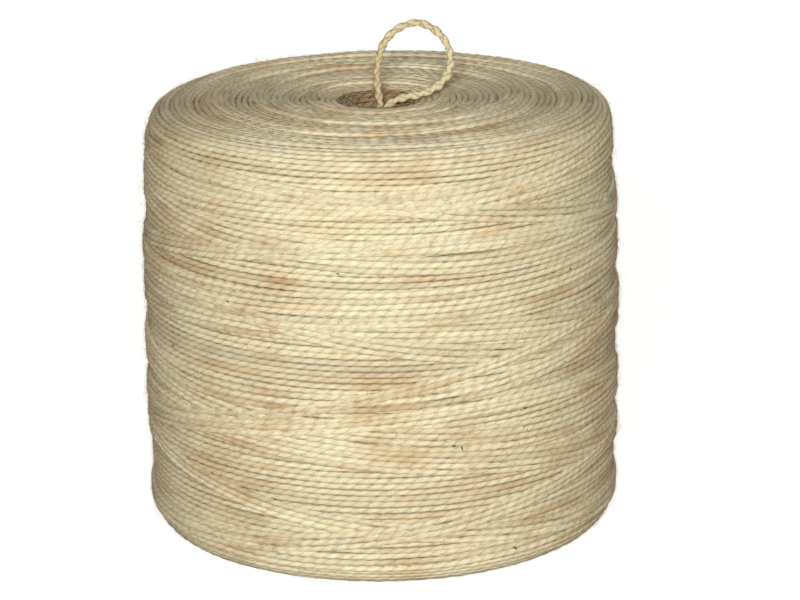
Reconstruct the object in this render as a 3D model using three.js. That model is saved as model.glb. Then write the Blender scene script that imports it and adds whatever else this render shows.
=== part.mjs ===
// A coreless ball of jute twine, wound as an upright cylinder with rounded edges.
// The turns lie in broad belts that cross each other at small angles and stand a little proud.
// An open core runs through the middle, and a loop of the inner twine end is pulled up out of it.
// Millimetres, +Z up, with the origin at the centre of the flat base. The front faces -Y.
import * as THREE from "three";

// Driving dimensions of the wound ball
const HEIGHT = 218;
const CORE_RADIUS = 13;
const LIP_WIDTH = 6;
const LIP_DEPTH = 8;
const TOP_EDGE_RADIUS = 10;
const BASE_EDGE_RADIUS = 14;
const TOP_CROWN = 1.2;

// Outer radius of the plain ball at a few heights above the base
const FLANK = [
  { height: 14, radius: 118.4 },
  { height: 60, radius: 119.2 },
  { height: 105, radius: 119.4 },
  { height: 150, radius: 119.0 },
  { height: 190, radius: 117.0 },
  { height: 208, radius: 115.8 },
];

// Belts of turns on the flank. Each runs right round the ball, highest at the stated azimuth.
const BELTS = [
  { level: 143, tilt: 3, highAt: 10, width: 7, proud: 1.8 },
  { level: 101, tilt: 22, highAt: 50, width: 5, proud: 1.1 },
  { level: 62, tilt: 14, highAt: 200, width: 6, proud: 0.9 },
  { level: 176, tilt: 10, highAt: 120, width: 7, proud: 0.8 },
  { level: 38, tilt: 8, highAt: 320, width: 6, proud: 0.9 },
  { level: 84, tilt: 12, highAt: 150, width: 6, proud: 0.8 },
  { level: 120, tilt: 12, highAt: 250, width: 6, proud: 0.7 },
  { level: 194, tilt: 5, highAt: 15, width: 5, proud: 0.7 },
  { level: 18, tilt: 4, highAt: 80, width: 5, proud: 0.7 },
];

// Rings of turns on the top end, each a little off centre
const RINGS = [
  { radius: 102, shift: 3, towards: 30, width: 6, proud: 0.7 },
  { radius: 78, shift: 4, towards: 160, width: 7, proud: 0.8 },
  { radius: 52, shift: 4, towards: 280, width: 7, proud: 0.7 },
  { radius: 34, shift: 2, towards: 90, width: 5, proud: 0.5 },
];
const RELIEF_FREE_RADIUS = 24;

// The pulled loop: two plies laid up into one round twine
const TWINE_MEAN_RADIUS = 1.8;
const PLY_RIDGE = 0.16;
const PLIES = 2;
const LAY_LENGTH = 13;
const TWINE_SIDES = 10;
const TWINE_STEP = 1.6;

// Centre line of the loop: across, into the picture, and above the top end
const LOOP_ROUTE = [
  [1.0, 12.2, -19.6],
  [1.4, 9.4, -19.3],
  [1.8, 6.4, -17.2],
  [2.1, 4.3, -13.6],
  [1.8, 3.0, -8.6],
  [1.2, 2.4, -2.6],
  [0.1, 2.0, 4.6],
  [-0.2, 1.6, 12.4],
  [0.5, 1.2, 20.2],
  [2.7, 0.8, 27.6],
  [7.4, 0.4, 34.0],
  [13.6, 0.0, 38.0],
  [20.6, -0.4, 39.4],
  [27.4, -0.8, 36.8],
  [32.8, -1.2, 32.0],
  [36.2, -1.6, 25.2],
  [36.6, -2.0, 17.6],
  [33.8, -2.6, 11.0],
  [28.2, -3.2, 6.2],
  [21.4, -3.8, 3.5],
  [14.4, -4.3, 2.3],
  [8.2, -4.6, 0.3],
  [3.6, -4.7, -3.6],
  [1.6, -5.0, -8.6],
  [1.2, -6.6, -13.8],
  [0.9, -9.4, -17.6],
  [0.4, -12.3, -18.0],
];

const COLUMNS = 64;
const FLANK_ROWS = 36;
const TOP_ROWS = 8;
const ARC_ROWS = 4;
const RADIANS = Math.PI / 180;

const twineColour = new THREE.Color(0.72, 0.63, 0.43);

function bump(distance, width) {
  return Math.exp(-((distance / width) ** 2));
}

// Outer radius of the plain ball at a height, read along the flank table
function flankRadius(height) {
  const last = FLANK.length - 1;
  const k = Math.min(last - 1, Math.max(0, FLANK.findIndex((row) => row.height > height) - 1));
  const lower = FLANK[k];
  const upper = FLANK[k + 1];
  const share = THREE.MathUtils.clamp((height - lower.height) / (upper.height - lower.height), 0, 1);
  return THREE.MathUtils.lerp(lower.radius, upper.radius, THREE.MathUtils.smoothstep(share, 0, 1));
}

// How far the belts of turns stand out at an azimuth and height
function beltRelief(azimuth, height) {
  const lumps = 0.35 * Math.sin(2 * azimuth + 0.6) + 0.25 * Math.sin(3 * azimuth - height / 30);
  return BELTS.reduce((sum, belt) => {
    const level = belt.level + belt.tilt * Math.cos(azimuth - belt.highAt * RADIANS);
    return sum + belt.proud * bump(height - level, belt.width);
  }, lumps);
}

// How far the rings of turns stand up at an azimuth and radius on the top end
function ringRelief(azimuth, radius) {
  const fade = THREE.MathUtils.smoothstep(radius, RELIEF_FREE_RADIUS, RELIEF_FREE_RADIUS + LIP_DEPTH);
  const sum = RINGS.reduce((total, ring) => {
    const middle = ring.radius + ring.shift * Math.cos(azimuth - ring.towards * RADIANS);
    return total + ring.proud * bump(radius - middle, ring.width);
  }, 0);
  return fade * sum;
}

// One row of the closed outline: a point, its outward direction and its share of each relief
function row(radius, height, out, up, belt, ring) {
  return { radius, height, out, up, belt, ring };
}

// The outline from the base of the core, up its wall, over the top end and down the flank
function outline() {
  const rows = [];
  const coreTop = HEIGHT - LIP_DEPTH;
  rows.push(row(CORE_RADIUS, 0, -1, 0, 0, 0));
  rows.push(row(CORE_RADIUS, HEIGHT / 2, -1, 0, 0, 0));
  for (let i = 0; i <= ARC_ROWS; i += 1) {
    const turn = (i / ARC_ROWS) * (Math.PI / 2);
    const radius = CORE_RADIUS + LIP_WIDTH * (1 - Math.cos(turn));
    rows.push(row(radius, coreTop + LIP_DEPTH * Math.sin(turn), 0, 1, 0, 0));
  }
  const topInner = CORE_RADIUS + LIP_WIDTH;
  const edgeHeight = HEIGHT - TOP_EDGE_RADIUS;
  const topOuter = flankRadius(edgeHeight) - TOP_EDGE_RADIUS;
  for (let i = 1; i < TOP_ROWS; i += 1) {
    const share = i / TOP_ROWS;
    const radius = THREE.MathUtils.lerp(topInner, topOuter, share);
    rows.push(row(radius, HEIGHT + TOP_CROWN * Math.sin(Math.PI * share), 0, 1, 0, 1));
  }
  for (let i = 0; i < ARC_ROWS; i += 1) {
    const share = i / ARC_ROWS;
    const turn = share * (Math.PI / 2);
    const radius = topOuter + TOP_EDGE_RADIUS * Math.sin(turn);
    const height = edgeHeight + TOP_EDGE_RADIUS * Math.cos(turn);
    rows.push(row(radius, height, Math.sin(turn), Math.cos(turn), share, 1 - share));
  }
  for (let i = 0; i <= FLANK_ROWS; i += 1) {
    const height = THREE.MathUtils.lerp(edgeHeight, BASE_EDGE_RADIUS, i / FLANK_ROWS);
    rows.push(row(flankRadius(height), height, 1, 0, 1, 0));
  }
  const baseOuter = flankRadius(BASE_EDGE_RADIUS) - BASE_EDGE_RADIUS;
  for (let i = 1; i <= ARC_ROWS; i += 1) {
    const share = i / ARC_ROWS;
    const turn = share * (Math.PI / 2);
    const radius = baseOuter + BASE_EDGE_RADIUS * Math.cos(turn);
    const height = BASE_EDGE_RADIUS * (1 - Math.sin(turn));
    rows.push(row(radius, height, Math.cos(turn), -Math.sin(turn), 1 - share, 0));
  }
  return rows;
}

// Joins rows of points that each run once round into faces. The last row meets the first.
function ringGeometry(rings, columns, closed) {
  const positions = rings.flat().flatMap((point) => [point.x, point.y, point.z]);
  const faces = [];
  const joins = closed ? rings.length : rings.length - 1;
  for (let i = 0; i < joins; i += 1) {
    for (let j = 0; j < columns; j += 1) {
      const a = i * columns + j;
      const b = i * columns + ((j + 1) % columns);
      const c = ((i + 1) % rings.length) * columns + ((j + 1) % columns);
      const d = ((i + 1) % rings.length) * columns + j;
      faces.push(a, d, c, a, c, b);
    }
  }
  if (!closed) {
    const last = (rings.length - 1) * columns;
    for (let j = 1; j < columns - 1; j += 1) {
      faces.push(0, j, j + 1, last, last + j + 1, last + j);
    }
  }
  const geometry = new THREE.BufferGeometry();
  geometry.setAttribute("position", new THREE.Float32BufferAttribute(positions, 3));
  geometry.setIndex(faces);
  geometry.computeVertexNormals();
  return geometry;
}

function windingGeometry() {
  const rings = outline().map((place) => {
    const points = [];
    for (let j = 0; j < COLUMNS; j += 1) {
      const azimuth = (j / COLUMNS) * 2 * Math.PI;
      const belt = place.belt * beltRelief(azimuth, place.height);
      const ring = place.ring * ringRelief(azimuth, place.radius);
      const radius = place.radius + place.out * (belt + ring);
      const height = place.height + place.up * (belt + ring);
      points.push(new THREE.Vector3(radius * Math.cos(azimuth), radius * Math.sin(azimuth), height));
    }
    return points;
  });
  return ringGeometry(rings, COLUMNS, true);
}

// The twine's section turns along its length, so that the two plies wind round each other
function loopGeometry() {
  const route = LOOP_ROUTE.map(([across, deep, above]) => new THREE.Vector3(across, deep, HEIGHT + above));
  const line = new THREE.CatmullRomCurve3(route, false, "centripetal");
  const length = line.getLength();
  const steps = Math.round(length / TWINE_STEP);
  const frames = line.computeFrenetFrames(steps, false);
  const rings = [];
  for (let i = 0; i <= steps; i += 1) {
    const middle = line.getPointAt(i / steps);
    const turned = ((length * i) / steps / LAY_LENGTH) * 2 * Math.PI;
    const points = [];
    for (let j = 0; j < TWINE_SIDES; j += 1) {
      const angle = (j / TWINE_SIDES) * 2 * Math.PI;
      const radius = TWINE_MEAN_RADIUS * (1 + PLY_RIDGE * Math.cos(PLIES * (angle - turned)));
      points.push(
        middle
          .clone()
          .addScaledVector(frames.normals[i], radius * Math.cos(angle))
          .addScaledVector(frames.binormals[i], -radius * Math.sin(angle)),
      );
    }
    rings.push(points);
  }
  return ringGeometry(rings, TWINE_SIDES, false);
}

function twineMesh(name, geometry, roughness) {
  const finish = new THREE.MeshStandardMaterial({ color: twineColour, roughness, metalness: 0 });
  const mesh = new THREE.Mesh(geometry, finish);
  mesh.name = name;
  return mesh;
}

// The middle of the wound ball's bounds, which stands over the origin
function middleOf(geometry) {
  geometry.computeBoundingBox();
  return geometry.boundingBox.getCenter(new THREE.Vector3());
}

const winding = twineMesh("wound_twine", windingGeometry(), 0.95);
const loop = twineMesh("pulled_loop", loopGeometry(), 0.9);
const middle = middleOf(winding.geometry);
const ball = new THREE.Group();
ball.name = "twine_ball";
for (const mesh of [winding, loop]) {
  mesh.position.set(-middle.x, -middle.y, 0);
  ball.add(mesh);
}

export default ball;
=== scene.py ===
"""A coreless ball of jute twine: crossing belts of two-ply turns, an open core and a pulled loop.

Every length is in metres unless a name says otherwise. +Z is up and the front faces -Y.
"""
import logging
import math
from dataclasses import dataclass, field
from enum import Enum

import bmesh
import bpy
import numpy as np
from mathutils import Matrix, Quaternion, Vector

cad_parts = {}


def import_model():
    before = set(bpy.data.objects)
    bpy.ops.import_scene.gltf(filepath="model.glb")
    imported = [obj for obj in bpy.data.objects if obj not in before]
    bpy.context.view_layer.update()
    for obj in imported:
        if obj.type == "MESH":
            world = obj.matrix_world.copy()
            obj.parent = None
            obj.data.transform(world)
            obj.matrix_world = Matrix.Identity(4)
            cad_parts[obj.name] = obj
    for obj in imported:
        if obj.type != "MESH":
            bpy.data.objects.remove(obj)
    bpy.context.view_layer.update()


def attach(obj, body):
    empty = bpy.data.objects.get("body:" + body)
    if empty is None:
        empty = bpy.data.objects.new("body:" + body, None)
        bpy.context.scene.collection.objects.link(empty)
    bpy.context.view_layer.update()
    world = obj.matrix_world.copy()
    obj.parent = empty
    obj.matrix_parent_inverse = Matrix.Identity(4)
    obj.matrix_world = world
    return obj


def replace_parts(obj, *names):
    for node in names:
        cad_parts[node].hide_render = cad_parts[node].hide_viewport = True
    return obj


LOG = logging.getLogger("twine_ball")
MM = 0.001
TAU = 2 * math.pi
BODY = "root"


class Pile(Enum):
    """How far the loose fibres of a kind stand off the turns."""

    CLOSE = "close"
    STRAY = "stray"


@dataclass(frozen=True)
class JuteFinish:
    """One shade of raw jute, with the socket values that the shader gets."""

    name: str
    pale: tuple[float, float, float]
    straw: tuple[float, float, float]
    tan: tuple[float, float, float]
    bark: tuple[float, float, float]
    groove_shade: float
    roughness: float
    sheen: float


WOUND_JUTE = JuteFinish(
    "wound_jute", (0.86, 0.80, 0.57),
    (0.78, 0.69, 0.44), (0.59, 0.38, 0.17), (0.24, 0.15, 0.07), 0.82, 0.92, 0.02
)
# Darker jute for the turns in and round the open core: these dark colours and the deep groove shade are
# painted shade, standing in for the shadow inside the core's hollow.
CORE_JUTE_PAINTED_SHADE = JuteFinish(
    "core_jute_painted_shade", (0.40, 0.29, 0.16),
    (0.32, 0.21, 0.11), (0.25, 0.14, 0.07), (0.12, 0.07, 0.04), 0.45, 0.95, 0.0
)
LOOP_JUTE = JuteFinish(
    "loop_jute", (0.80, 0.72, 0.47),
    (0.70, 0.58, 0.32), (0.52, 0.32, 0.12), (0.26, 0.15, 0.06), 0.62, 0.72, 0.06
)
HAIR_JUTE = JuteFinish(
    "hair_jute", (0.86, 0.78, 0.56),
    (0.76, 0.66, 0.42), (0.60, 0.43, 0.22), (0.40, 0.27, 0.13), 1.0, 0.70, 0.0
)


@dataclass(frozen=True)
class Belt:
    """Turns that run side by side round the ball, highest at one azimuth."""

    level_mm: float
    tilt_mm: float
    high_at_deg: float
    turns: int


FLANK_BELTS = (
    Belt(18, 4, 80, 3),
    Belt(62, 14, 200, 4),
    Belt(84, 12, 150, 4),
    Belt(120, 12, 250, 4),
    Belt(176, 10, 120, 5),
    Belt(194, 5, 15, 4),
    Belt(158, 16, -70, 3),
    Belt(70, 20, -60, 3),
    Belt(128, 20, 170, 3),
    Belt(205, 12, 60, 4),
    Belt(110, 16, 60, 3),
    Belt(185, 18, -150, 3),
    Belt(37, 19, 160, 3),
    Belt(34, 18, 21, 3),
    Belt(143, 3, 10, 6),
    Belt(97, 27, -6, 2),
)
# On the top end the level is the radius, and the tilt is how far off centre the turns lie.
TOP_BELTS = (
    Belt(102, 3, 30, 3),
    Belt(90, 8, -40, 3),
    Belt(78, 4, 160, 4),
    Belt(64, 9, 60, 3),
    Belt(52, 4, 280, 4),
    Belt(44, 6, 200, 3),
    Belt(34, 2, 90, 2),
)


@dataclass
class Outline:
    """The ball's outline as a line in radius and height, from inside the core round to the base."""

    height: float = 218 * MM
    core_radius: float = 13 * MM
    core_depth: float = 34 * MM
    lip_width: float = 6 * MM
    lip_depth: float = 8 * MM
    top_edge: float = 10 * MM
    base_edge: float = 14 * MM
    crown: float = 1.2 * MM
    inset: float = 2.1 * MM
    spacing: float = 0.5 * MM
    flank: tuple[tuple[float, float], ...] = (
        (14, 118.4), (60, 119.2), (105, 119.4), (150, 119.0), (190, 117.0), (208, 115.8)
    )
    radius: np.ndarray = field(init=False)
    level: np.ndarray = field(init=False)
    out: np.ndarray = field(init=False)
    up: np.ndarray = field(init=False)
    along: np.ndarray = field(init=False)

    def __post_init__(self) -> None:
        """Works out the evenly spaced points of the line and their outward directions."""
        rough = np.array(self._corner_points())
        step = np.linalg.norm(np.diff(rough, axis=0), axis=1)
        run = np.concatenate([[0], np.cumsum(step)])
        self.along = np.arange(0, run[-1], self.spacing)
        self.radius = np.interp(self.along, run, rough[:, 0])
        self.level = np.interp(self.along, run, rough[:, 1])
        ahead = np.gradient(np.stack([self.radius, self.level], 1), axis=0)
        soft = 5
        kernel = np.ones(soft) / soft
        padded = np.pad(ahead, ((soft // 2, soft // 2), (0, 0)), mode="edge")
        ahead = np.stack([np.convolve(padded[:, k], kernel, "valid") for k in (0, 1)], 1)
        ahead /= np.linalg.norm(ahead, axis=1)[:, None]
        self.out, self.up = -ahead[:, 1], ahead[:, 0]

    def flank_radius(self, height: np.ndarray) -> np.ndarray:
        """Outer radius of the plain ball.

        Args:
            height: Heights above the base.

        Returns:
            The radius at each.
        """
        table = np.array(self.flank) * MM
        return np.interp(height, table[:, 0], table[:, 1])

    def _corner_points(self) -> list[tuple[float, float]]:
        """Points of the line, close together on its round corners."""
        turns = np.linspace(0, math.pi / 2, 13)
        lip = self.height - self.lip_depth
        points = [(self.core_radius, self.height - self.core_depth)]
        points += [
            (self.core_radius + self.lip_width * (1 - math.cos(t)), lip + self.lip_depth * math.sin(t))
            for t in turns
        ]
        edge_height = self.height - self.top_edge
        top_outer = float(self.flank_radius(edge_height)) - self.top_edge
        inner = self.core_radius + self.lip_width
        shares = np.linspace(0, 1, 24)[1:-1]
        points += [
            (inner + (top_outer - inner) * k, self.height + self.crown * math.sin(math.pi * k))
            for k in shares
        ]
        points += [
            (top_outer + self.top_edge * math.sin(t), edge_height + self.top_edge * math.cos(t))
            for t in turns
        ]
        heights = np.linspace(edge_height, self.base_edge, 30)[1:-1]
        points += [(float(self.flank_radius(h)), float(h)) for h in heights]
        base_outer = float(self.flank_radius(self.base_edge)) - self.base_edge
        points += [
            (base_outer + self.base_edge * math.cos(t), self.base_edge * (1 - math.sin(t))) for t in turns
        ]
        points.append((inner, 0.0))
        return points

    def at_radius_on_top(self, radius: float) -> float:
        """Finds a place on the top end.

        Args:
            radius: How far it is from the axis.

        Returns:
            Its distance along the outline.
        """
        on_top = self.level > self.height - self.lip_depth / 2
        return float(np.interp(radius, self.radius[on_top], self.along[on_top]))

    def at_height_on_flank(self, height: float) -> float:
        """Finds a place on the flank.

        Args:
            height: How far it is above the base.

        Returns:
            Its distance along the outline.
        """
        on_flank = np.nonzero(self.radius > 0.9 * self.radius.max())[0]
        level = self.level[on_flank]
        return float(np.interp(-height, -level, self.along[on_flank]))

    def place(self, azimuth: np.ndarray, along: np.ndarray, stand: np.ndarray) -> tuple[np.ndarray, ...]:
        """Points, outward directions and downhill directions on the wound surface.

        Args:
            azimuth: Angle round the axis, 0 at +X.
            along: Distance along the outline.
            stand: Height above the bed under the outer turns.

        Returns:
            Points, outward unit vectors, and unit vectors along the outline.
        """
        radius, level, out, up = (
            np.interp(along, self.along, line) for line in (self.radius, self.level, self.out, self.up)
        )
        size = np.hypot(out, up)
        out, up = out / size, up / size
        c, s = np.cos(azimuth), np.sin(azimuth)
        off = stand - self.inset
        r, z = radius + out * off, level + up * off
        points = np.stack([r * c, r * s, z], -1)
        outward = np.stack([out * c, out * s, up], -1)
        downhill = np.stack([up * c, up * s, -out], -1)
        return points, outward, downhill


class TubeStack:
    """Gathers many tubes of twine into one mesh, with a UV map along and round each."""

    def __init__(self) -> None:
        """Starts with nothing gathered."""
        self.points: list[np.ndarray] = []
        self.faces: list[np.ndarray] = []
        self.uvs: list[np.ndarray] = []
        self.tones: list[np.ndarray] = []
        self.count = 0

    def add(self, rings: np.ndarray, run: np.ndarray, tone: float, closed: bool) -> None:
        """Adds one tube.

        Args:
            rings: Points as steps by sides by three.
            run: Distance along the tube at each step, with one more where it closes.
            tone: A number that sets this tube's shade apart.
            closed: Whether the last ring joins the first.
        """
        steps, sides = rings.shape[:2]
        spans = steps if closed else steps - 1
        i, j = np.meshgrid(np.arange(spans), np.arange(sides), indexing="ij")
        i2, j2 = (i + 1) % steps, (j + 1) % sides
        quads = np.stack([i * sides + j, i * sides + j2, i2 * sides + j2, i2 * sides + j], -1).reshape(-1, 4)
        u0, u1 = run[i], run[i + 1]
        v0, v1 = j / sides, (j + 1) / sides
        uv = np.stack([np.stack(p, -1) for p in ((u0, v0), (u0, v1), (u1, v1), (u1, v0))], -2).reshape(-1, 2)
        self.points.append(rings.reshape(-1, 3))
        self.faces.append(quads + self.count)
        self.uvs.append(uv)
        self.tones.append(np.full(steps * sides, tone))
        self.count += steps * sides

    def piece(self, name: str) -> bpy.types.Object:
        """Makes the gathered tubes one smooth mesh object.

        Args:
            name: The piece's name.

        Returns:
            The new object, at the origin.
        """
        points, faces = np.concatenate(self.points), np.concatenate(self.faces)
        mesh = bpy.data.meshes.new(name)
        mesh.vertices.add(len(points))
        mesh.vertices.foreach_set("co", points.astype(np.float32).ravel())
        mesh.loops.add(faces.size)
        mesh.loops.foreach_set("vertex_index", faces.astype(np.int32).ravel())
        mesh.polygons.add(len(faces))
        mesh.polygons.foreach_set("loop_start", np.arange(0, faces.size, 4, dtype=np.int32))
        mesh.polygons.foreach_set("use_smooth", np.ones(len(faces), bool))
        mesh.update(calc_edges=True)
        uv = mesh.uv_layers.new(name="UVMap")
        uv.data.foreach_set("uv", np.concatenate(self.uvs).astype(np.float32).ravel())
        tone = mesh.attributes.new("tone", "FLOAT", "POINT")
        tone.data.foreach_set("value", np.concatenate(self.tones).astype(np.float32))
        mesh.validate()
        made = bpy.data.objects.new(name, mesh)
        bpy.context.scene.collection.objects.link(made)
        return made


class NodeSheet:
    """Short calls for adding and linking shader nodes."""

    def __init__(self, tree: bpy.types.NodeTree) -> None:
        """Works on one node tree."""
        self.tree = tree

    def add(self, kind: str, **settings: object) -> bpy.types.Node:
        """Adds a node of a kind and sets its properties."""
        made = self.tree.nodes.new(kind)
        for name, value in settings.items():
            setattr(made, name, value)
        return made

    def feed(self, socket: bpy.types.NodeSocket, value: object) -> None:
        """Links another socket into this one, or sets its value."""
        if isinstance(value, bpy.types.NodeSocket):
            self.tree.links.new(value, socket)
        else:
            socket.default_value = value

    def sums(
        self, operation: str, first: object, second: object = 0.0, third: object = 0.0
    ) -> bpy.types.NodeSocket:
        """One step of arithmetic.

        Args:
            operation: The step, by its Math node name.
            first: The first socket or number.
            second: The second.
            third: The third, where the step has one.

        Returns:
            The result.
        """
        made = self.add("ShaderNodeMath", operation=operation)
        for socket, value in zip(made.inputs, (first, second, third)):
            self.feed(socket, value)
        return made.outputs[0]

    def vector(self, x: object, y: object, z: object) -> bpy.types.NodeSocket:
        """Three numbers as one vector."""
        made = self.add("ShaderNodeCombineXYZ")
        for socket, value in zip(made.inputs, (x, y, z)):
            self.feed(socket, value)
        return made.outputs[0]

    def noise(self, place: bpy.types.NodeSocket, scale: float, detail: float) -> bpy.types.NodeSocket:
        """A soft noise from 0 to 1."""
        made = self.add("ShaderNodeTexNoise")
        self.feed(made.inputs["Vector"], place)
        made.inputs["Scale"].default_value = scale
        made.inputs["Detail"].default_value = detail
        return made.outputs["Fac"]

    def spread(
        self, value: object, low: float, high: float, to_low: float, to_high: float
    ) -> bpy.types.NodeSocket:
        """Maps a range of values onto another, kept inside it.

        Args:
            value: The socket to map.
            low: The value that becomes to_low.
            high: The value that becomes to_high.
            to_low: The new range at low.
            to_high: The new range at high.

        Returns:
            The mapped value.
        """
        made = self.add("ShaderNodeMapRange")
        for socket, number in zip(made.inputs, (value, low, high, to_low, to_high)):
            self.feed(socket, number)
        return made.outputs[0]

    def mixed(self, share: object, first: object, second: object, blend: str = "MIX") -> bpy.types.NodeSocket:
        """Two colours mixed by a share."""
        made = self.add("ShaderNodeMix", data_type="RGBA", blend_type=blend)
        for index, value in ((0, share), (6, first), (7, second)):
            self.feed(made.inputs[index], value)
        return made.outputs[2]


class JuteShader:
    """Raw jute: a shared node group for shade and fibre relief, and a material for each finish."""

    lay: float = 13 * MM
    plies: float = 2.0
    relief: float = 0.35 * MM

    def __init__(self) -> None:
        """Builds the shared group once."""
        self.group = bpy.data.node_groups.new("jute_fibre", "ShaderNodeTree")
        face = self.group.interface
        for name in ("Pale", "Straw", "Tan", "Bark"):
            face.new_socket(name=name, in_out="INPUT", socket_type="NodeSocketColor")
        for name in ("Groove shade", "Roughness"):
            face.new_socket(name=name, in_out="INPUT", socket_type="NodeSocketFloat")
        face.new_socket(name="Color", in_out="OUTPUT", socket_type="NodeSocketColor")
        face.new_socket(name="Roughness", in_out="OUTPUT", socket_type="NodeSocketFloat")
        face.new_socket(name="Height", in_out="OUTPUT", socket_type="NodeSocketFloat")
        self._wire()

    def _wire(self) -> None:
        """Links the nodes of the shared group."""
        n = NodeSheet(self.group)
        given = n.add("NodeGroupInput").outputs
        uv = n.add("ShaderNodeSeparateXYZ")
        n.feed(uv.inputs[0], n.add("ShaderNodeUVMap", uv_map="UVMap").outputs[0])
        run, turn = uv.outputs[0], uv.outputs[1]
        tone = n.add("ShaderNodeAttribute", attribute_name="tone").outputs["Fac"]
        place = n.add("ShaderNodeTexCoord").outputs["Object"]
        lays = n.sums("DIVIDE", run, self.lay)
        phase = n.sums("MULTIPLY", n.sums("SUBTRACT", turn, lays), self.plies)
        ridge = n.sums("COSINE", n.sums("MULTIPLY", phase, TAU))
        groove = n.spread(ridge, -0.35, -1.0, 0.0, 1.0)
        stretch = n.vector(n.sums("MULTIPLY", run, 28.0), n.sums("MULTIPLY", tone, 31.0), turn)
        slow = n.noise(stretch, 1.0, 3.0)
        patch = n.noise(place, 16.0, 3.0)
        streak_place = n.vector(
            n.sums("MULTIPLY", run, 260.0), n.sums("MULTIPLY", phase, 5.0), n.sums("MULTIPLY", tone, 57.0)
        )
        streak = n.noise(streak_place, 1.0, 4.0)
        fleck_place = n.vector(n.sums("MULTIPLY", run, 170.0), n.sums("MULTIPLY", phase, 0.8), tone)
        fleck = n.noise(fleck_place, 1.7, 2.0)
        paleness = n.mixed(n.spread(streak, 0.35, 0.65, 0.0, 1.0), given["Straw"], given["Pale"])
        warmth = n.sums("ADD", n.sums("MULTIPLY", slow, 0.72), n.sums("MULTIPLY", patch, 0.44))
        warm = n.mixed(n.spread(warmth, 0.56, 0.80, 0.0, 0.85), paleness, given["Tan"])
        barky = n.mixed(n.spread(fleck, 0.71, 0.79, 0.0, 0.75), warm, given["Bark"])
        shade = n.sums("MULTIPLY_ADD", groove, n.sums("SUBTRACT", given["Groove shade"], 1.0), 1.0)
        strand = n.spread(n.sums("FRACT", n.sums("MULTIPLY", tone, 7.31)), 0.0, 1.0, 0.90, 1.06)
        level = n.sums("MULTIPLY", shade, strand)
        colour = n.add("ShaderNodeVectorMath", operation="SCALE")
        n.feed(colour.inputs[0], barky)
        n.feed(colour.inputs["Scale"], level)
        height = n.sums("MULTIPLY_ADD", streak, 0.8, n.sums("MULTIPLY", ridge, 0.35))
        rough = n.sums("MULTIPLY_ADD", streak, -0.18, n.sums("ADD", given["Roughness"], 0.09))
        made = n.add("NodeGroupOutput")
        n.feed(made.inputs["Color"], colour.outputs[0])
        n.feed(made.inputs["Roughness"], rough)
        n.feed(made.inputs["Height"], height)

    def material(self, finish: JuteFinish) -> bpy.types.Material:
        """The material of one finish.

        Args:
            finish: The shades and socket values.

        Returns:
            The new material.
        """
        made = bpy.data.materials.new(finish.name)
        made.use_nodes = True
        n = NodeSheet(made.node_tree)
        shader = made.node_tree.nodes["Principled BSDF"]
        fibre = n.add("ShaderNodeGroup", node_tree=self.group)
        for name, value in (
            ("Pale", finish.pale), ("Straw", finish.straw), ("Tan", finish.tan), ("Bark", finish.bark)
        ):
            fibre.inputs[name].default_value = (*value, 1.0)
        fibre.inputs["Groove shade"].default_value = finish.groove_shade
        fibre.inputs["Roughness"].default_value = finish.roughness
        bump = n.add("ShaderNodeBump")
        bump.inputs["Strength"].default_value = 0.5
        bump.inputs["Distance"].default_value = self.relief
        n.feed(bump.inputs["Height"], fibre.outputs["Height"])
        n.feed(shader.inputs["Base Color"], fibre.outputs["Color"])
        n.feed(shader.inputs["Roughness"], fibre.outputs["Roughness"])
        n.feed(shader.inputs["Normal"], bump.outputs["Normal"])
        shader.inputs["Specular IOR Level"].default_value = 0.12
        shader.inputs["Sheen Weight"].default_value = finish.sheen
        shader.inputs["Sheen Roughness"].default_value = 0.6
        return made


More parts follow.
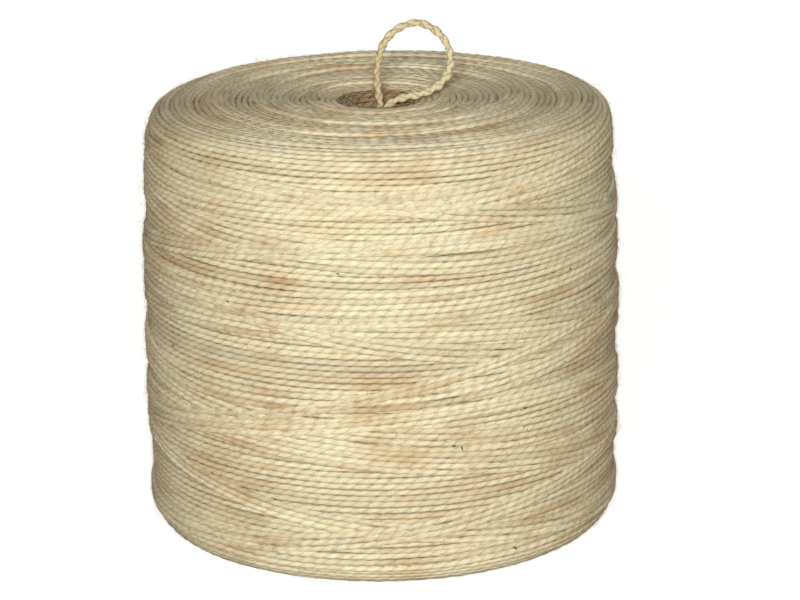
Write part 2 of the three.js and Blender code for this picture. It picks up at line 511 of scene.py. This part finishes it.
@dataclass
class WoundBall:
    """The wound turns: a level bed of turns all over, and crossing belts laid on top of it."""

    outline: Outline
    shader: JuteShader
    pitch: float = 3.0 * MM
    half_width: float = 1.68 * MM
    half_height: float = 1.42 * MM
    nestle: float = 0.08 * MM
    most_stand: float = 3.1 * MM
    ply_ridge: float = 0.12
    columns: int = 720
    bed_rise: float = 0.16 * MM
    bed_waver: float = 0.22 * MM
    belt_waver: float = 0.3 * MM
    belt_sway: float = 1.1 * MM
    belt_fan: float = 0.12
    bed_sides: int = 6
    bed_step: float = 2.7 * MM
    base_sides: int = 5
    base_step: float = 4.0 * MM
    belt_sides: int = 8
    belt_step: float = 2.6 * MM
    long_slub: float = 0.07
    short_slub: float = 0.05
    filling_steps: int = 96
    draws: np.random.Generator = field(default_factory=lambda: np.random.default_rng(41))
    relief: np.ndarray = field(init=False)

    def __post_init__(self) -> None:
        """Starts with a bare bed under the turns."""
        self.relief = np.zeros((self.columns, len(self.outline.along)))
        self.angles = np.linspace(0, TAU, self.columns, endpoint=False)

    def _waver(self, size: float, waves: tuple[int, ...]) -> np.ndarray:
        """A small closed wander round the ball, from a few sine waves.

        Args:
            size: How far it wanders at most.
            waves: How many times each sine wave goes up and down in a turn.

        Returns:
            The wander at each column.
        """
        total = np.zeros(self.columns)
        for wave in waves:
            total += np.sin(wave * self.angles + self.draws.uniform(0, TAU)) * self.draws.uniform(0.3, 1.0)
        return size * total / len(waves)

    def lay_turn(self, along: np.ndarray, on_top: bool) -> np.ndarray:
        """Settles one turn on what is already wound, and adds it to the relief.

        Args:
            along: Distance along the outline at each column.
            on_top: Whether it crosses earlier turns, or is part of the bed.

        Returns:
            How high the turn's middle stands above the bed at each column.
        """
        spacing = self.outline.spacing
        spot = np.clip(np.rint(along / spacing).astype(int), 0, self.relief.shape[1] - 1)
        column = np.arange(self.columns)
        if on_top:
            reach = range(-1, 2)
            under = np.mean(
                [self.relief[column, np.clip(spot + k, 0, self.relief.shape[1] - 1)] for k in reach], axis=0
            )
            stand = np.minimum(under + self.nestle, self.most_stand)
            window = np.hanning(17)
            stand = np.convolve(np.pad(stand, 8, mode="wrap"), window / window.sum(), "valid")
        else:
            stand = np.full(self.columns, self.half_height) + self._waver(self.bed_rise, (3, 7, 13))
        reach = int(self.half_width / spacing) + 1
        for k in range(-reach, reach + 1):
            near = np.clip(spot + k, 0, self.relief.shape[1] - 1)
            away = np.clip(np.abs(near * spacing - along) / self.half_width, 0, 1)
            top = stand + self.half_height * np.sqrt(1 - away**2)
            found = self.relief[column, near]
            self.relief[column, near] = np.where(away < 1, np.maximum(found, top), found)
        return stand

    def tube(self, stack: TubeStack, along: np.ndarray, stand: np.ndarray, sides: int, step: float) -> None:
        """Adds one closed turn of two-ply twine to a stack.

        Args:
            stack: Where the turn's mesh goes.
            along: Distance along the outline at each column.
            stand: Height of the turn's middle above the bed at each column.
            sides: How many sides the twine's section has.
            step: Distance between sections.
        """
        radius = float(np.interp(along.mean(), self.outline.along, self.outline.radius))
        steps = max(24, int(TAU * radius / step))
        angle = np.linspace(0, TAU, steps, endpoint=False)
        wrap = np.append(self.angles, TAU)
        here = np.interp(angle, wrap, np.append(along, along[0]))
        height = np.interp(angle, wrap, np.append(stand, stand[0]))
        middle, outward, downhill = self.outline.place(angle, here, height)
        ahead = np.roll(middle, -1, 0) - np.roll(middle, 1, 0)
        ahead /= np.linalg.norm(ahead, axis=1)[:, None]
        downhill = downhill - (downhill * ahead).sum(1)[:, None] * ahead
        downhill /= np.linalg.norm(downhill, axis=1)[:, None]
        outward = np.cross(ahead, downhill) * np.sign(
            (np.cross(ahead, downhill) * outward).sum(1)
        )[:, None]
        length = np.linalg.norm(np.roll(middle, -1, 0) - middle, axis=1)
        run = np.concatenate([[0], np.cumsum(length)])
        lays = max(2, round(run[-1] / self.shader.lay))
        run = run * (lays * self.shader.lay / run[-1])
        start = self.draws.uniform()
        turned = (run[:-1] / self.shader.lay + start) * TAU
        around = np.linspace(0, TAU, sides, endpoint=False)
        turn = angle[:, None]
        thick = 1 + self.long_slub * np.sin(turn * 5 + start * TAU)
        thick = thick + self.short_slub * np.sin(turn * 17 + start * 40)
        size = thick * (1 - self.ply_ridge + self.ply_ridge * np.cos(2 * (around[None, :] - turned[:, None])))
        wide = (self.half_width * size * np.cos(around))[..., None] * downhill[:, None, :]
        high = (self.half_height * size * np.sin(around))[..., None] * outward[:, None, :]
        rings = middle[:, None, :] + wide + high
        rings[..., 2] = np.maximum(rings[..., 2], 0)
        stack.add(rings, run + start * self.shader.lay, self.draws.uniform(), closed=True)

    def bed(self) -> list[bpy.types.Object]:
        """The level turns that cover the whole ball.

        Returns:
            The pieces, from the core out to the base.
        """
        end = self.outline.along[-1]
        cuts = {
            "core_turns": self.outline.at_radius_on_top(21 * MM),
            "end_turns": self.outline.at_height_on_flank(206 * MM),
            "upper_turns": self.outline.at_height_on_flank(108 * MM),
            "lower_turns": self.outline.at_height_on_flank(6 * MM),
            "base_turns": end,
        }
        stacks = {name: TubeStack() for name in cuts}
        place = self.half_width
        drift = self._waver(1.0, (1, 2))
        while place < end - self.half_width:
            name = next(key for key, cut in cuts.items() if place <= cut)
            swing = min(2.2 * MM, 0.02 * abs(place - cuts["core_turns"]))
            along = place + swing * drift + self._waver(self.bed_waver, (2, 5, 9))
            stand = self.lay_turn(along, on_top=False)
            if name == "base_turns":
                stand = np.full(self.columns, self.half_height * 1.02)
                sides, step = self.base_sides, self.base_step
            else:
                sides, step = self.bed_sides, self.bed_step
            self.tube(stacks[name], along, stand, sides, step)
            place += self.pitch * self.draws.uniform(0.95, 1.04)
            drift = 0.97 * drift + 0.03 * self._waver(1.0, (1, 2, 3)) * 4
        return [stack.piece(name) for name, stack in stacks.items()]

    def belts(self, name: str, belts: tuple[Belt, ...], on_flank: bool) -> bpy.types.Object:
        """The crossing belts of one face.

        Args:
            name: The piece's name.
            belts: Their levels, tilts and numbers of turns.
            on_flank: Whether they lie on the flank, or on the top end.

        Returns:
            The piece.
        """
        stack = TubeStack()
        for belt in belts:
            find = self.outline.at_height_on_flank if on_flank else self.outline.at_radius_on_top
            level = find(belt.level_mm * MM)
            facing = -1 if on_flank else 1
            tilt = facing * belt.tilt_mm * MM * np.cos(self.angles - math.radians(belt.high_at_deg))
            sway = self._waver(self.belt_sway, (2, 3, 4))
            for k in range(belt.turns):
                aside = (k - (belt.turns - 1) / 2) * self.pitch * self.draws.uniform(0.96, 1.05)
                fan = 1 + self.belt_fan * (k - belt.turns / 2) * self.draws.uniform(0.2, 1.0) / belt.turns
                along = level + tilt * fan + sway + aside + self._waver(self.belt_waver, (3, 6, 11))
                along = np.clip(along, self.half_width, self.outline.along[-1] - self.half_width)
                stand = self.lay_turn(along, on_top=True)
                self.tube(stack, along, stand, self.belt_sides, self.belt_step)
        return stack.piece(name)

    def filling(self) -> bpy.types.Object:
        """The body of the ball under the outer turns, spun from its outline round the open core.

        Returns:
            The piece that fills the ball behind its outer turns.
        """
        sunk = 1.2 * MM
        line, core = self.outline, self.outline.core_radius
        pick = slice(0, len(line.along), 6)
        off = -(line.inset + sunk)
        points = [
            (r + o * off, max(z + u * off, sunk))
            for r, z, o, u in zip(line.radius[pick], line.level[pick], line.out[pick], line.up[pick])
        ]
        points.append((core + line.inset + sunk, sunk))
        mesh = bpy.data.meshes.new("filling")
        corners = [(r, 0.0, z) for r, z in points]
        mesh.from_pydata(corners, [(i, (i + 1) % len(corners)) for i in range(len(corners))], [])
        made = bpy.data.objects.new("filling", mesh)
        bpy.context.scene.collection.objects.link(made)
        pick_alone(made)
        bpy.ops.object.mode_set(mode="EDIT")
        bpy.ops.mesh.select_all(action="SELECT")
        bpy.ops.mesh.spin(steps=self.filling_steps, angle=TAU, center=(0, 0, 0), axis=(0, 0, 1))
        bpy.ops.mesh.select_all(action="SELECT")
        bpy.ops.mesh.remove_doubles(threshold=0.02 * MM)
        bpy.ops.mesh.normals_make_consistent(inside=False)
        bpy.ops.uv.smart_project()
        bpy.ops.object.mode_set(mode="OBJECT")
        bpy.ops.object.shade_smooth()
        made.data.uv_layers[0].name = "UVMap"
        return made

    def surface(self, azimuth: np.ndarray, along: np.ndarray) -> np.ndarray:
        """Reads how high the wound surface stands.

        Args:
            azimuth: Angles round the axis.
            along: Distances along the outline.

        Returns:
            The height above the bed at each place.
        """
        column = np.rint(azimuth / TAU * self.columns).astype(int) % self.columns
        spot = np.clip(np.rint(along / self.outline.spacing).astype(int), 0, self.relief.shape[1] - 1)
        return self.relief[column, spot]


@dataclass
class LooseFibres:
    """Short fibres that stand off the turns all over the ball."""

    ball: WoundBall
    kind: Pile
    count: int
    shortest: float
    longest: float
    width: float
    lift: float
    knots: int = 4

    def piece(self, name: str, seed: int) -> bpy.types.Object:
        """Grows the fibres as thin strips.

        Args:
            name: The piece's name.
            seed: The seed of their random places.

        Returns:
            The piece.
        """
        draws = np.random.default_rng(seed)
        line = self.ball.outline
        under = (line.level < 3 * MM) & (line.radius < line.radius.max() * 0.93)
        shown = (line.along > 12 * MM) & ~under
        weight = np.where(shown, line.radius, 0)
        along = draws.choice(line.along, self.count, p=weight / weight.sum())
        azimuth = draws.uniform(0, TAU, self.count)
        length = draws.uniform(self.shortest, self.longest, self.count)
        spread = 1.2 if self.kind is Pile.STRAY else 0.75
        heading = draws.normal(0, spread, self.count) + np.pi * draws.integers(0, 2, self.count)
        curl = draws.normal(0, 1.1, self.count)
        lift = self.lift * draws.uniform(0.15, 1.0, self.count) ** 1.5
        middles, asides = [], []
        for k in range(self.knots):
            share = k / (self.knots - 1)
            reach = self.ball.surface(azimuth, along) + lift * math.sin(share * 2.3) - 0.2 * MM * (1 - share)
            point, outward, downhill = line.place(azimuth, along, reach)
            aheads = np.cross(downhill, outward)
            side = downhill * np.cos(heading)[:, None] - aheads * np.sin(heading)[:, None]
            middles.append(point)
            asides.append(side + 0.4 * outward)
            stride = length / (self.knots - 1)
            radius = np.maximum(np.interp(along, line.along, line.radius), line.core_radius)
            azimuth = (azimuth + stride * np.cos(heading) / radius) % TAU
            along = np.clip(along + stride * np.sin(heading), 2 * MM, line.along[-1] - 2 * MM)
            heading = heading + curl * 0.6
        middle, aside = np.stack(middles, 1), np.stack(asides, 1)
        aside /= np.linalg.norm(aside, axis=-1, keepdims=True)
        taper = np.linspace(1.0, 0.45, self.knots)[None, :, None]
        half = aside * self.width * 0.5 * taper
        middle[..., 2] = np.maximum(middle[..., 2], 0.3 * MM)
        rings = np.stack([middle - half, middle + half], 2)
        stack = TubeStack()
        stack_strips(stack, rings, length, draws)
        return stack.piece(name)


def stack_strips(stack: TubeStack, rings: np.ndarray, length: np.ndarray, draws: np.random.Generator) -> None:
    """Adds many open strips of the same number of steps at once.

    Args:
        stack: Where the strips go.
        rings: Points as strips by steps by two by three.
        length: Each strip's length.
        draws: The source of each strip's tone.
    """
    strips, steps = rings.shape[:2]
    first = (np.arange(strips)[:, None] * steps + np.arange(steps - 1)[None, :]) * 2
    quads = np.stack([first, first + 1, first + 3, first + 2], -1).reshape(-1, 4)
    share = np.arange(steps - 1) / (steps - 1)
    u0 = length[:, None] * share[None, :]
    u1 = u0 + length[:, None] / (steps - 1)
    low, high = np.full_like(u0, 0.45), np.full_like(u0, 0.55)
    uv = np.stack([np.stack(p, -1) for p in ((u0, low), (u0, high), (u1, high), (u1, low))], -2).reshape(-1, 2)
    stack.points.append(rings.reshape(-1, 3))
    stack.faces.append(quads + stack.count)
    stack.uvs.append(uv)
    stack.tones.append(np.repeat(draws.uniform(0, 1, strips), steps * 2))
    stack.count += strips * steps * 2


@dataclass
class PulledLoop:
    """The loop of the inner twine end, pulled up out of the core and tucked back in."""

    shader: JuteShader
    top: float = 218 * MM
    shift: tuple[float, float] = (-0.299 * MM, 0.010 * MM)
    ply_radius: float = 1.32 * MM
    ply_offset: float = 0.76 * MM
    sides: int = 20
    step: float = 0.8 * MM
    slub_at: float = 0.70
    slub_reach: float = 0.045
    slub_size: float = 0.22
    # Across, into the picture, and above the top end, in millimetres
    route: tuple[tuple[float, float, float], ...] = (
        (1.0, 12.2, -19.6), (1.4, 9.4, -19.3), (1.8, 6.4, -17.2), (2.1, 4.3, -13.6), (1.8, 3.0, -8.6),
        (1.2, 2.4, -2.6), (0.1, 2.0, 4.6), (-0.2, 1.6, 12.4), (0.5, 1.2, 20.2), (2.7, 0.8, 27.6),
        (7.4, 0.4, 34.0), (13.6, 0.0, 38.0), (20.6, -0.4, 39.4), (27.4, -0.8, 36.8), (32.8, -1.2, 32.0),
        (36.2, -1.6, 25.2), (36.6, -2.0, 17.6), (33.8, -2.6, 11.0), (28.2, -3.2, 6.2), (21.4, -3.8, 3.5),
        (14.4, -4.3, 2.3), (8.2, -4.6, 0.3), (3.6, -4.7, -3.6), (1.6, -5.0, -8.6), (1.2, -6.6, -13.8),
        (0.9, -9.4, -17.6), (0.4, -12.3, -18.0),
    )

    def line(self) -> np.ndarray:
        """The loop's middle line as evenly spaced points.

        Returns:
            The points, one step apart.
        """
        points = np.array(self.route) * MM + np.array([*self.shift, self.top])
        points = np.vstack([2 * points[0] - points[1], points, 2 * points[-1] - points[-2]])
        dense = []
        for p0, p1, p2, p3 in zip(points, points[1:], points[2:], points[3:]):
            t0 = 0.0
            t1 = t0 + math.sqrt(np.linalg.norm(p1 - p0))
            t2 = t1 + math.sqrt(np.linalg.norm(p2 - p1))
            t3 = t2 + math.sqrt(np.linalg.norm(p3 - p2))
            t = np.linspace(t1, t2, 16, endpoint=False)[:, None]
            a1 = (t1 - t) / (t1 - t0) * p0 + (t - t0) / (t1 - t0) * p1
            a2 = (t2 - t) / (t2 - t1) * p1 + (t - t1) / (t2 - t1) * p2
            a3 = (t3 - t) / (t3 - t2) * p2 + (t - t2) / (t3 - t2) * p3
            b1 = (t2 - t) / (t2 - t0) * a1 + (t - t0) / (t2 - t0) * a2
            b2 = (t3 - t) / (t3 - t1) * a2 + (t - t1) / (t3 - t1) * a3
            dense.append((t2 - t) / (t2 - t1) * b1 + (t - t1) / (t2 - t1) * b2)
        dense = np.vstack([*dense, points[-2][None, :]])
        run = np.concatenate([[0], np.cumsum(np.linalg.norm(np.diff(dense, axis=0), axis=1))])
        even = np.linspace(0, run[-1], round(run[-1] / self.step) + 1)
        return np.stack([np.interp(even, run, dense[:, k]) for k in range(3)], 1)

    def frames(self, line: np.ndarray) -> tuple[np.ndarray, np.ndarray]:
        """Two directions square to the line at each point, that turn as little as they can.

        Args:
            line: The points of the line.

        Returns:
            The two directions at each point.
        """
        ahead = np.gradient(line, axis=0)
        ahead /= np.linalg.norm(ahead, axis=1)[:, None]
        first = np.cross(ahead[0], [0, 0, 1.0])
        sides = [first / np.linalg.norm(first)]
        for way in ahead[1:]:
            side = sides[-1] - np.dot(sides[-1], way) * way
            sides.append(side / np.linalg.norm(side))
        side = np.array(sides)
        return side, np.cross(ahead, side)

    def piece(self) -> bpy.types.Object:
        """Returns:
            The piece.
        """
        line = self.line()
        side, other = self.frames(line)
        run = np.concatenate([[0], np.cumsum(np.linalg.norm(np.diff(line, axis=0), axis=1))])
        turned = run / self.shader.lay * TAU
        around = np.linspace(0, TAU, self.sides, endpoint=False)
        part = around[None, :] - turned[:, None]
        reach = self.ply_offset * np.abs(np.cos(part)) + np.sqrt(
            self.ply_radius**2 - (self.ply_offset * np.sin(part)) ** 2
        )
        share = run / run[-1]
        swell = 1 + self.slub_size * np.exp(-(((share - self.slub_at) / self.slub_reach) ** 2))
        swell *= 1 + 0.05 * np.sin(share * 41) + 0.04 * np.sin(share * 97 + 1)
        reach = reach * swell[:, None]
        rings = (
            line[:, None, :]
            + (reach * np.cos(around))[..., None] * side[:, None, :]
            - (reach * np.sin(around))[..., None] * other[:, None, :]
        )
        stack = TubeStack()
        stack.add(rings[:, ::-1][:, np.roll(np.arange(self.sides), 1)], run, 0.37, closed=False)
        made = stack.piece("pulled_twine")
        close_ends(made)
        return made

    def hairs(self, count: int, seed: int) -> bpy.types.Object:
        """Fine fibres that stand off the loop.

        Args:
            count: How many.
            seed: The seed of their random places.

        Returns:
            The piece.
        """
        draws = np.random.default_rng(seed)
        line = self.line()
        side, other = self.frames(line)
        low, high = int(0.16 * len(line)), int(0.90 * len(line))
        start = draws.integers(low, high, count)
        angle = draws.uniform(0, TAU, count)
        away = np.cos(angle)[:, None] * side[start] + np.sin(angle)[:, None] * other[start]
        ahead = np.gradient(line, axis=0)[start]
        ahead /= np.linalg.norm(ahead, axis=1)[:, None]
        ahead *= draws.choice([-1.0, 1.0], count)[:, None]
        length = draws.uniform(1.5 * MM, 4.5 * MM, count)
        knots = []
        for share in (0.0, 0.33, 0.67, 1.0):
            rise = (self.ply_radius * 1.5 + length * 0.42 * share**1.4)[:, None]
            knots.append(line[start] + away * rise + ahead * (length * share)[:, None])
        middle = np.stack(knots, 1)
        half = 0.05 * MM * np.cross(ahead, away)[:, None, :] * np.linspace(1, 0.4, 4)[None, :, None]
        stack = TubeStack()
        stack_strips(stack, np.stack([middle - half, middle + half], 2), length, draws)
        return stack.piece("loop_hairs")


@dataclass(frozen=True)
class Shive:
    """One dark bit of stalk caught in the twine."""

    azimuth_deg: float
    height_mm: float
    length_mm: float
    width_mm: float
    turn_deg: float


@dataclass
class Shives:
    """The bits of bark and stalk that show on the flank."""

    ball: WoundBall
    bits: tuple[Shive, ...] = (
        Shive(-54.6, 85.7, 2.6, 1.5, 5),
        Shive(-71.6, 71.0, 3.0, 0.8, 82),
        Shive(-73.6, 72.6, 2.2, 0.7, -8),
        Shive(-57.7, 14.2, 3.2, 0.8, 35),
        Shive(-128.0, 141.0, 2.0, 0.7, 12),
        Shive(-100.0, 160.5, 2.4, 0.6, 4),
        Shive(-40.0, 150.0, 2.0, 0.8, 30),
        Shive(40.0, 96.0, 2.6, 0.8, 15),
        Shive(95.0, 130.0, 2.8, 0.9, -12),
        Shive(150.0, 58.0, 2.2, 0.8, 60),
        Shive(-150.0, 108.0, 2.0, 0.7, 20),
        Shive(120.0, 180.0, 2.6, 0.7, 8),
    )

    def piece(self, material: bpy.types.Material) -> bpy.types.Object:
        """Models one bit, copies it to each place and joins the copies.

        Args:
            material: The bark's material.

        Returns:
            The piece.
        """
        made = []
        for bit in self.bits:
            pick_none()
            bpy.ops.mesh.primitive_ico_sphere_add(subdivisions=2, radius=0.5)
            chip = bpy.context.object
            bpy.ops.object.mode_set(mode="EDIT")
            bpy.ops.mesh.select_all(action="DESELECT")
            grown = bmesh.from_edit_mesh(chip.data)
            for corner in grown.verts:
                corner.select = corner.co.x > 0.15
            grown.select_flush(True)
            bmesh.update_edit_mesh(chip.data)
            bpy.ops.transform.resize(value=(1.0, 0.55, 0.7))
            bpy.ops.object.mode_set(mode="OBJECT")
            azimuth = np.array([math.radians(bit.azimuth_deg) % TAU])
            along = np.array([self.ball.outline.at_height_on_flank(bit.height_mm * MM)])
            stand = self.ball.surface(azimuth, along) + 0.05 * MM
            placed = self.ball.outline.place(azimuth, along, stand)
            point, outward, downhill = (Vector(v[0]) for v in placed)
            ahead = outward.cross(downhill).normalized() * -1
            turn = math.radians(bit.turn_deg)
            long_way = ahead * math.cos(turn) - downhill * math.sin(turn)
            cross_way = outward.cross(long_way)
            for corner in chip.data.vertices:
                x, y, z = corner.co
                flat = long_way * (x * bit.length_mm * MM) + cross_way * (y * bit.width_mm * MM)
                corner.co = point + flat + outward * (z * 0.8 * MM)
            made.append(chip)
        pick_none()
        for chip in made:
            chip.select_set(True)
        bpy.context.view_layer.objects.active = made[0]
        bpy.ops.object.join()
        joined = bpy.context.object
        joined.name = "bark_bits"
        bpy.ops.object.shade_smooth()
        joined.data.materials.clear()
        joined.data.materials.append(material)
        return joined


@dataclass
class Studio:
    """The camera, the pale floor and the soft light from the camera's side."""

    focal_px: float = 3485.0
    frame_width_px: float = 800.0
    distance: float = 1.7895
    elevation_deg: float = 16.516
    roll_deg: float = -0.784
    middle_px: tuple[float, float] = (381.4, 306.8)
    frame_middle_px: tuple[float, float] = (400.0, 300.0)
    aim: tuple[float, float, float] = (0.0, 0.0, 0.109)

    def camera(self) -> None:
        """Sets the camera where the outline's fit puts it."""
        tilt = math.radians(self.elevation_deg)
        back = Vector((0, -math.cos(tilt), math.sin(tilt)))
        bpy.ops.object.camera_add(location=Vector(self.aim) + back * self.distance)
        made = bpy.context.object
        made.name = "front_camera"
        facing = (-back).to_track_quat("-Z", "Y")
        made.rotation_mode = "QUATERNION"
        made.rotation_quaternion = facing @ Quaternion((0, 0, 1), math.radians(self.roll_deg))
        made.data.sensor_width = 36.0
        made.data.lens = self.focal_px / self.frame_width_px * made.data.sensor_width
        made.data.shift_x = (self.frame_middle_px[0] - self.middle_px[0]) / self.frame_width_px
        made.data.shift_y = (self.middle_px[1] - self.frame_middle_px[1]) / self.frame_width_px
        made.data.clip_start, made.data.clip_end = 0.05, 50
        bpy.context.scene.camera = made

    def floor(self) -> None:
        """Lays the pale floor, which shows a little brighter than it lights the ball."""
        pick_none()
        bpy.ops.mesh.primitive_plane_add(size=40, location=(0, 0, 0))
        made = bpy.context.object
        made.name = "floor"
        paint = bpy.data.materials.new("floor_paint")
        paint.use_nodes = True
        n = NodeSheet(paint.node_tree)
        shader = paint.node_tree.nodes["Principled BSDF"]
        shader.inputs["Base Color"].default_value = (0.40, 0.36, 0.30, 1)
        shader.inputs["Roughness"].default_value = 1.0
        shader.inputs["Emission Color"].default_value = (1, 1, 0.99, 1)
        seen = n.add("ShaderNodeLightPath").outputs["Is Camera Ray"]
        n.feed(shader.inputs["Emission Strength"], n.sums("MULTIPLY", seen, 0.88))
        made.data.materials.append(paint)

    def lights(self) -> None:
        """A broad key light above the camera, a weak side fill and a dim sky."""
        for name, place, size, power in (
            ("key", (-0.10, -2.8, 1.10), 0.7, 86.0),
            ("fill", (2.2, -0.9, 1.0), 1.6, 1.5),
            ("rim", (0.3, 2.8, 0.7), 1.2, 24.0),
        ):
            bpy.ops.object.light_add(type="AREA", location=place)
            made = bpy.context.object
            made.name = name
            made.data.size = size
            made.data.energy = power
            made.rotation_euler = (Vector(self.aim) - Vector(place)).to_track_quat("-Z", "Y").to_euler()
        world = bpy.data.worlds.new("soft_sky")
        world.use_nodes = True
        world.node_tree.nodes["Background"].inputs[0].default_value = (1.0, 0.82, 0.56, 1)
        world.node_tree.nodes["Background"].inputs[1].default_value = 0.05
        bpy.context.scene.world = world
        bpy.context.scene.view_settings.view_transform = "Standard"


def pick_none() -> None:
    """Deselects everything."""
    bpy.ops.object.select_all(action="DESELECT")


def pick_alone(made: bpy.types.Object) -> None:
    """Selects one object and makes it the active one.

    Args:
        made: The object.
    """
    pick_none()
    made.select_set(True)
    bpy.context.view_layer.objects.active = made


def close_ends(made: bpy.types.Object) -> None:
    """Closes the open ends of a tube and turns its faces outwards.

    Args:
        made: The tube.
    """
    pick_alone(made)
    bpy.ops.object.mode_set(mode="EDIT")
    bpy.ops.mesh.select_mode(type="EDGE")
    bpy.ops.mesh.select_all(action="DESELECT")
    bpy.ops.mesh.select_non_manifold()
    bpy.ops.mesh.edge_face_add()
    bpy.ops.mesh.select_all(action="SELECT")
    bpy.ops.mesh.normals_make_consistent(inside=False)
    bpy.ops.object.mode_set(mode="OBJECT")


def dress(made: bpy.types.Object, material: bpy.types.Material) -> bpy.types.Object:
    """Gives a piece its finish, fixes it to the ball and reports it.

    Args:
        made: The piece.
        material: Its material.

    Returns:
        The same piece.
    """
    if not made.data.materials:
        made.data.materials.append(material)
    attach(made, BODY)
    LOG.info("%s: %d faces", made.name, len(made.data.polygons))
    return made


def main() -> None:
    """Builds the studio and the ball."""
    logging.basicConfig(level=logging.INFO, format="%(message)s")
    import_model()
    studio = Studio()
    studio.camera()
    shader = JuteShader()
    wound, core = shader.material(WOUND_JUTE), shader.material(CORE_JUTE_PAINTED_SHADE)
    loop_jute, hair = shader.material(LOOP_JUTE), shader.material(HAIR_JUTE)
    loop = PulledLoop(shader)
    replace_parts(dress(loop.piece(), loop_jute), "pulled_loop")
    dress(loop.hairs(420, seed=5), hair)
    ball = WoundBall(Outline(), shader)
    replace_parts(dress(ball.filling(), wound), "wound_twine")
    for piece in ball.bed():
        # The core turns take the darker core finish, which paints the shade of the core's hollow into their
        # colour.
        dress(piece, core if piece.name == "core_turns" else wound)
    half = len(FLANK_BELTS) // 2
    for name, belts in (("first_belts", FLANK_BELTS[:half]), ("last_belts", FLANK_BELTS[half:])):
        dress(ball.belts(name, belts, on_flank=True), wound)
    dress(ball.belts("end_belts", TOP_BELTS, on_flank=False), wound)
    close = LooseFibres(ball, Pile.CLOSE, 28000, 3 * MM, 9 * MM, 0.16 * MM, 1.4 * MM)
    stray = LooseFibres(ball, Pile.STRAY, 3000, 8 * MM, 20 * MM, 0.17 * MM, 4.0 * MM, knots=7)
    dress(close.piece("close_fibres", seed=11), hair)
    dress(stray.piece("stray_fibres", seed=12), hair)
    bark = bpy.data.materials.new("bark")
    bark.use_nodes = True
    bark.node_tree.nodes["Principled BSDF"].inputs["Base Color"].default_value = (0.10, 0.075, 0.04, 1)
    bark.node_tree.nodes["Principled BSDF"].inputs["Roughness"].default_value = 0.8
    dress(Shives(ball).piece(bark), bark)
    studio.floor()
    studio.lights()


if __name__ == "__main__":
    main()
